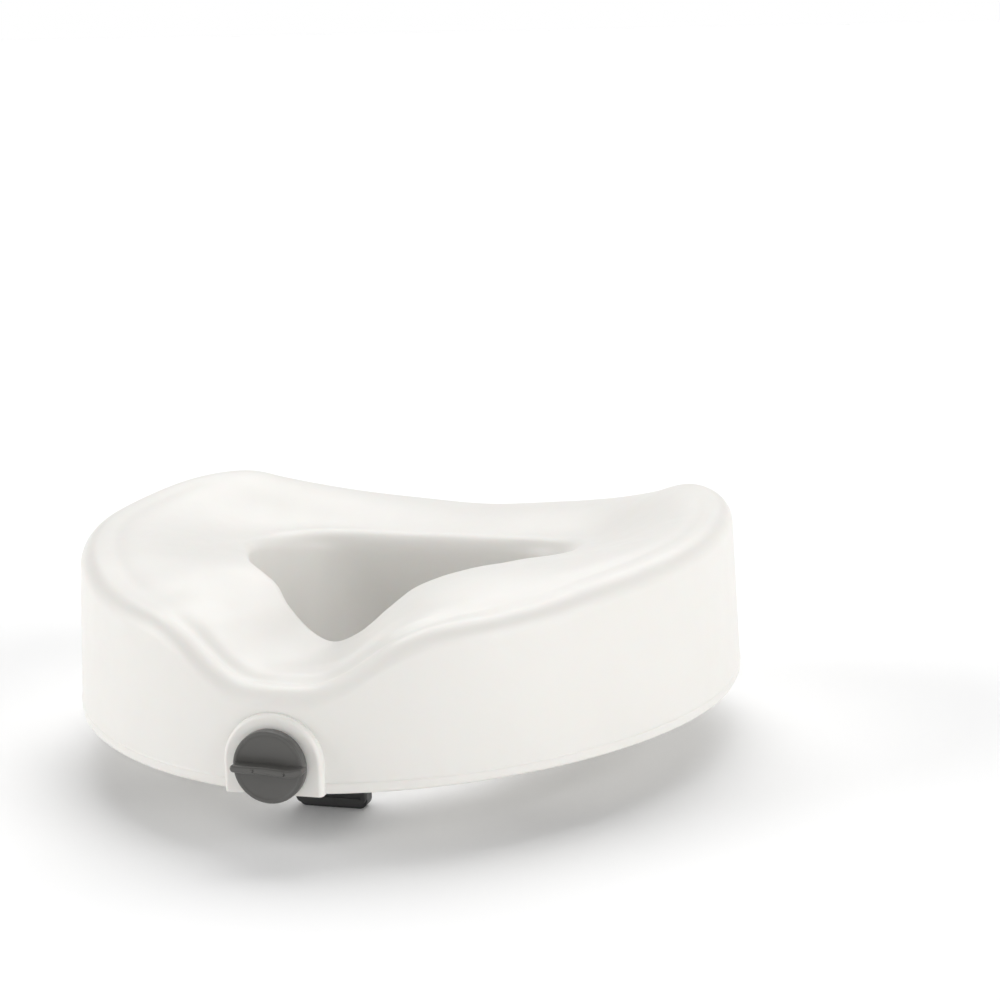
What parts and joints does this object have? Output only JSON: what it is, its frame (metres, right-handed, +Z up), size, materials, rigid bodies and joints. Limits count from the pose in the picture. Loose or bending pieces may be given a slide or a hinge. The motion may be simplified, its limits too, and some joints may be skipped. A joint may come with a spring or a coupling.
{
  "type": "raised toilet seat",
  "caption": "Contoured raised toilet seat that rests on a bowl rim, held by rear hooks and a front clamp drawn tight with a hand knob.",
  "frame": {"origin": "centre of the base of the whole object's box, on the plane of the feet of the clamp arm and the two rear hooks; the underside that rests on the bowl is 36 mm above it", "axes": "+Z up, -Y to the front where the knob is, +X to the right as seen from the front"},
  "size_m": [0.4006, 0.43, 0.1399],
  "materials": {
    "white_hdpe": "fine moulded texture",
    "grey_nylon": "satin moulded",
    "black_nylon": "satin moulded",
    "zinc_steel": "zinc plated",
    "spring_steel": "oiled",
    "brass": "turned",
    "grey_rubber": "matte"
  },
  "bodies": {
    "seat": {"seat_body": "white_hdpe", "vent_plug": "white_hdpe", "screw_bush": "black_nylon", "guide_rail": "zinc_steel", "rail_screws": "zinc_steel", "rear_hook_left": "black_nylon", "rear_hook_right": "black_nylon", "hook_pad_left": "grey_rubber", "hook_pad_right": "grey_rubber", "hook_screws": "zinc_steel", "hook_washers": "zinc_steel", "hook_inserts": "brass", "rim_pad_front_left": "grey_rubber", "rim_pad_front_right": "grey_rubber", "rim_pad_rear_left": "grey_rubber", "rim_pad_rear_right": "grey_rubber"},
    "knob": {"knob": "grey_nylon", "clamp_screw": "zinc_steel", "thrust_washer": "zinc_steel", "inner_washer": "zinc_steel", "retaining_clip": "spring_steel"},
    "clamp": {"clamp_arm": "black_nylon", "clamp_nut": "zinc_steel", "nut_retainer": "zinc_steel", "retainer_screws": "zinc_steel", "clamp_pad": "grey_rubber", "pad_rivets": "zinc_steel"}
  },
  "joints": [
    {"name": "knob_turn", "type": "hinge", "parent": "seat", "child": "knob", "pos_m": [0, -0.19, 0.053], "axis": [0, 1, 0], "range_deg": [-3001, 1441]},
    {"name": "clamp_slide", "type": "slide", "parent": "seat", "child": "clamp", "axis": [0, -1, 0], "range_m": [-0.025, 0.012]}
  ],
  "couplings": [
    {"joint": "knob_turn", "follows": "clamp_slide", "rad_per_m": 2094.4}
  ]
}
